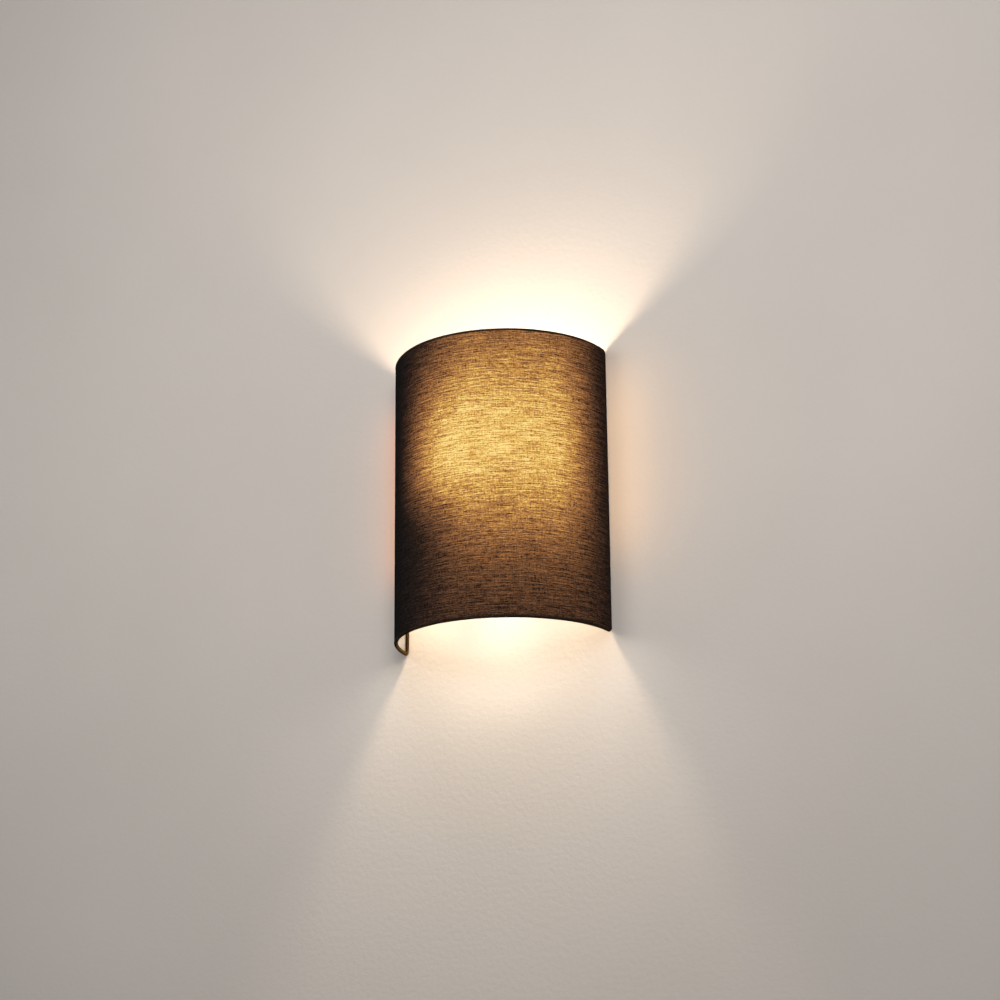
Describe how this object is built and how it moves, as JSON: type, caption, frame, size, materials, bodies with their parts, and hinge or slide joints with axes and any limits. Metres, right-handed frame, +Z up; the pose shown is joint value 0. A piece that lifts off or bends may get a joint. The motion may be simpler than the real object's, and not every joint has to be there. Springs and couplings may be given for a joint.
{
  "type": "fabric shade wall light",
  "caption": "Half-round fabric shade wall light: wire-framed cloth shade hooked on a small wall canopy that carries an upright screw-base bulb.",
  "frame": {"origin": "centre of the wall strap's back face, on the wall", "axes": "+Z up along the wall, -Y out of the wall into the room, +X to the right seen from the room"},
  "size_m": [0.2304, 0.1152, 0.3],
  "materials": {
    "zinc_steel": "zinc plated",
    "white_enamel": "satin powder coat",
    "nickel_plate": "satin nickel",
    "brass": "bare",
    "holder_plastic": "moulded satin",
    "insert_ceramic": "unglazed",
    "block_plastic": "moulded, slightly milky",
    "bush_plastic": "moulded",
    "sleeve_braid": "woven glass fibre",
    "brown_insulation": "smooth",
    "blue_insulation": "smooth",
    "earth_insulation": "green and yellow",
    "shade_cloth": "linen weave",
    "shade_liner": "white foil",
    "opal_dome": "opal, lit",
    "bulb_plastic": "moulded",
    "cap_glass": "fused glass",
    "board_metal": "white solder mask",
    "led_phosphor": "phosphor resin",
    "circuit_board": "green solder mask"
  },
  "bodies": {
    "wall_bracket": {"mounting_strap": "zinc_steel", "cable_bush": "bush_plastic", "terminal_block": "block_plastic", "terminal_sleeves": "brass", "terminal_screws": "zinc_steel", "terminal_block_screw": "zinc_steel", "earth_lug": "brass", "earth_screw": "brass", "earth_lead": "earth_insulation", "canopy": "white_enamel", "lead_bush": "bush_plastic", "holder_bracket": "white_enamel", "bracket_screws": "zinc_steel", "bracket_nuts": "zinc_steel", "hollow_nipple": "brass", "nipple_washer": "zinc_steel", "nipple_nut": "zinc_steel", "holder_cap": "holder_plastic", "holder_sleeve": "holder_plastic", "holder_insert": "insert_ceramic", "holder_terminal_screws": "brass", "holder_screw_shell": "nickel_plate", "holder_contact_leaf": "brass", "lead_sleeve": "sleeve_braid", "live_lead": "brown_insulation", "neutral_lead": "blue_insulation"},
    "shade": {"shade_fabric": "shade_cloth", "shade_liner": "shade_liner", "top_ring_wire": "white_enamel", "bottom_ring_wire": "white_enamel", "left_upright_wire": "white_enamel", "right_upright_wire": "white_enamel", "left_carrier": "white_enamel", "right_carrier": "white_enamel"},
    "bulb_base": {"bulb_cap": "nickel_plate", "bulb_cap_insulator": "cap_glass", "bulb_centre_contact": "nickel_plate"},
    "bulb": {"bulb_housing": "bulb_plastic", "bulb_globe": "opal_dome", "bulb_led_board": "board_metal", "bulb_leds": "led_phosphor", "bulb_driver_board": "circuit_board"},
    "left_screw_slide": {"left_screw_washer": "nickel_plate"},
    "left_thumb_screw": {"left_thumb_screw": "nickel_plate"},
    "right_screw_slide": {"right_screw_washer": "nickel_plate"},
    "right_thumb_screw": {"right_thumb_screw": "nickel_plate"}
  },
  "joints": [
    {"name": "shade_lift", "type": "slide", "parent": "wall_bracket", "child": "shade", "axis": [0, 0, 1], "range_m": [0, 0.02]},
    {"name": "bulb_rise", "type": "slide", "parent": "wall_bracket", "child": "bulb_base", "axis": [0, 0, 1], "range_m": [0, 0.0163]},
    {"name": "bulb_turn", "type": "hinge", "parent": "bulb_base", "child": "bulb", "pos_m": [0, -0.06, 0.102], "axis": [0, 0, 1], "range_deg": [0, 1620]},
    {"name": "left_screw_back_out", "type": "slide", "parent": "wall_bracket", "child": "left_screw_slide", "axis": [-1, 0, 0], "range_m": [0, 0.0014]},
    {"name": "left_screw_turn", "type": "hinge", "parent": "left_screw_slide", "child": "left_thumb_screw", "pos_m": [-0.0466, -0.011, 0], "axis": [-1, 0, 0], "range_deg": [0, 720]},
    {"name": "right_screw_back_out", "type": "slide", "parent": "wall_bracket", "child": "right_screw_slide", "axis": [1, 0, 0], "range_m": [0, 0.0014]},
    {"name": "right_screw_turn", "type": "hinge", "parent": "right_screw_slide", "child": "right_thumb_screw", "pos_m": [0.0466, -0.011, 0], "axis": [1, 0, 0], "range_deg": [0, 720]}
  ],
  "couplings": [
    {"joint": "bulb_rise", "follows": "bulb_turn", "m_per_rad": 0.00057614},
    {"joint": "left_screw_back_out", "follows": "left_screw_turn", "m_per_rad": 0.0001114},
    {"joint": "right_screw_back_out", "follows": "right_screw_turn", "m_per_rad": 0.0001114}
  ]
}
